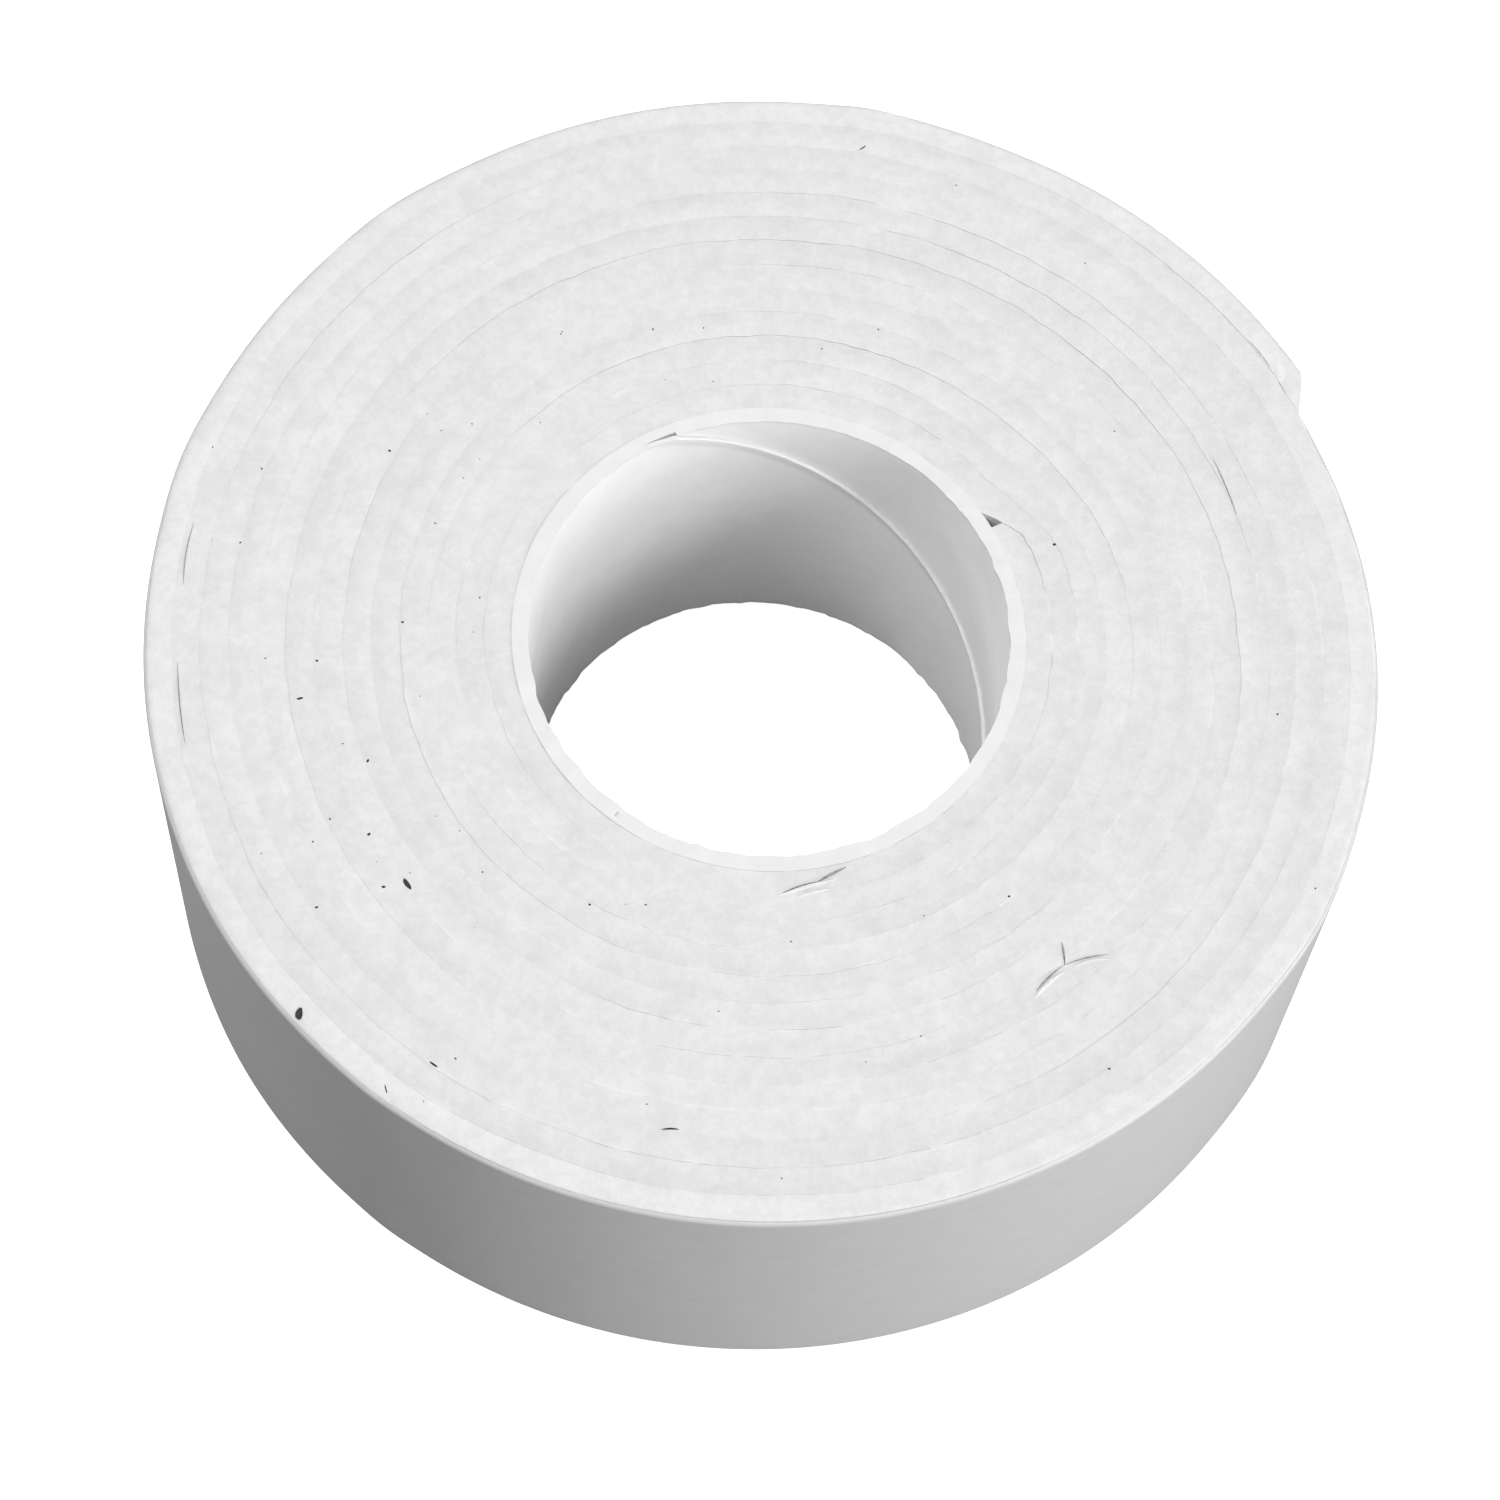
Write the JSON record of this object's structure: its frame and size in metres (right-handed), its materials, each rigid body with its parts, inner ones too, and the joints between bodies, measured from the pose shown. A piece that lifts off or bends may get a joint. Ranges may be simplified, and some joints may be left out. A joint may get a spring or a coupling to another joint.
{
  "type": "grip tape roll",
  "caption": "Roll of soft white foam build-up tape on a thin spiral-wound paper core, with a liner and a tail that lifts.",
  "frame": {"origin": "on the core's axis, in the plane of the side that the roll lies on", "axes": "+Z along the core's axis, up out of the roll's top side; +X and +Y square to it, with the strip's inner end 33.7 degrees anticlockwise from +X; seen from +Z the strip is wound clockwise"},
  "size_m": [0.074, 0.0751, 0.025],
  "materials": {
    "foam": "soft closed-cell foam, matt, with fine cells on its cut edge",
    "adhesive": "thin tacky coat, slightly glossy",
    "liner": "smooth siliconised paper, satin",
    "core_paper": "smooth white core paper, matt"
  },
  "bodies": {
    "roll": {"core_inner_ply": "core_paper", "core_middle_ply": "core_paper", "core_outer_ply": "core_paper", "wound_inner_adhesive": "adhesive", "wound_foam": "foam", "wound_outer_adhesive": "adhesive", "wound_liner": "liner"},
    "tail_1": {"tail_1_inner_adhesive": "adhesive", "tail_1_foam": "foam", "tail_1_outer_adhesive": "adhesive", "tail_1_liner": "liner"},
    "tail_2": {"tail_2_inner_adhesive": "adhesive", "tail_2_foam": "foam", "tail_2_outer_adhesive": "adhesive", "tail_2_liner": "liner"},
    "tail_3": {"tail_3_inner_adhesive": "adhesive", "tail_3_foam": "foam", "tail_3_outer_adhesive": "adhesive", "tail_3_liner": "liner"},
    "tail_4": {"tail_4_inner_adhesive": "adhesive", "tail_4_foam": "foam", "tail_4_outer_adhesive": "adhesive", "tail_4_liner": "liner"},
    "liner_flap": {"liner_flap": "liner"}
  },
  "joints": [
    {"name": "tail_1_lift", "type": "hinge", "parent": "roll", "child": "tail_1", "pos_m": [-0.00179, 0.03794, 0.0125], "axis": [0, 0, 1], "range_deg": [0, 25]},
    {"name": "tail_2_lift", "type": "hinge", "parent": "tail_1", "child": "tail_2", "pos_m": [0.00811, 0.0372, 0.0125], "axis": [0, 0, 1], "range_deg": [0, 25]},
    {"name": "tail_3_lift", "type": "hinge", "parent": "tail_2", "child": "tail_3", "pos_m": [0.01749, 0.03389, 0.0125], "axis": [0, 0, 1], "range_deg": [0, 25]},
    {"name": "tail_4_lift", "type": "hinge", "parent": "tail_3", "child": "tail_4", "pos_m": [0.02569, 0.02824, 0.0125], "axis": [0, 0, 1], "range_deg": [0, 25]},
    {"name": "liner_flap_peel", "type": "hinge", "parent": "tail_4", "child": "liner_flap", "pos_m": [0.02806, 0.0259, 0.0125], "axis": [0, 0, 1], "range_deg": [0, 120]}
  ],
  "couplings": [
    {"joint": "tail_2_lift", "follows": "tail_1_lift", "ratio": 1},
    {"joint": "tail_3_lift", "follows": "tail_1_lift", "ratio": 1},
    {"joint": "tail_4_lift", "follows": "tail_1_lift", "ratio": 1}
  ]
}
